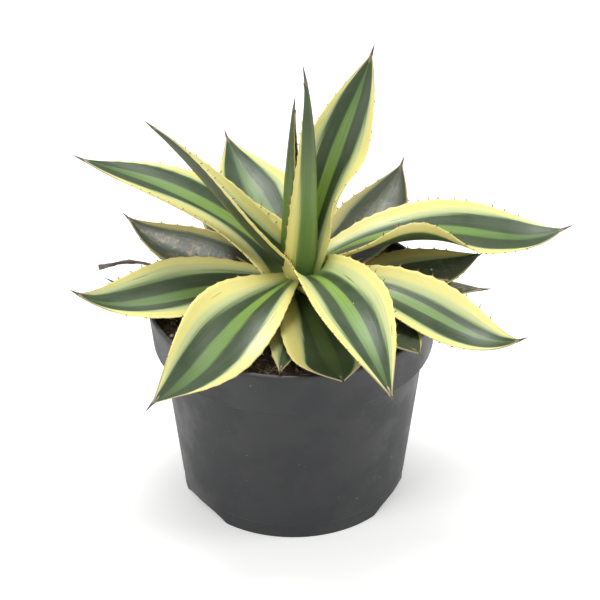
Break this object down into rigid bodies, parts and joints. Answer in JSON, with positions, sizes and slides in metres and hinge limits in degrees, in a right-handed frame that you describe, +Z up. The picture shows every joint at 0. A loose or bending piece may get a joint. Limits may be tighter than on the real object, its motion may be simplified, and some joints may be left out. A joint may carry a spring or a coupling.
{
  "type": "potted agave",
  "caption": "Rosette of broad, striped, toothed succulent leaves with pale margins and hard tips, in a dark round nursery pot.",
  "frame": {"origin": "centre of the pot's base, on the surface that it stands on", "axes": "+Z up along the pot's axis; -Y towards the front of the plant as pictured; +X to the right as seen from the front"},
  "size_m": [0.2911, 0.2374, 0.2776],
  "materials": {
    "pot": "satin black moulded plastic with light scuffs",
    "soil": "rough dark peat compost with fibres",
    "stem": "pale green fleshy stem",
    "leaf": "waxy striped leaf, dark green with a light middle stripe and pale yellow margins",
    "dry_leaf": "dry brown curled leaf remnant"
  },
  "bodies": {
    "root": {"pot": "pot", "soil": "soil", "stem": "stem", "leaf_centre_spear": "leaf", "leaf_centre_inner": "leaf", "leaf_left_folded": "leaf", "leaf_back_tall": "leaf", "leaf_front_right": "leaf", "leaf_front_left": "leaf", "leaf_right_long": "leaf", "leaf_left_long": "leaf", "leaf_back_left": "leaf", "leaf_left_front": "leaf", "leaf_right_front": "leaf", "leaf_back_right": "leaf", "leaf_front_short": "leaf", "leaf_front_right_short": "leaf", "leaf_right_low": "leaf", "leaf_left_low": "leaf", "leaf_left_hidden": "leaf", "leaf_front_sliver": "leaf", "leaf_right_tip": "leaf", "leaf_back_low": "leaf", "leaf_back_low_left": "leaf", "leaf_back_low_right": "leaf", "dry_stalk": "dry_leaf"}
  },
  "joints": []
}
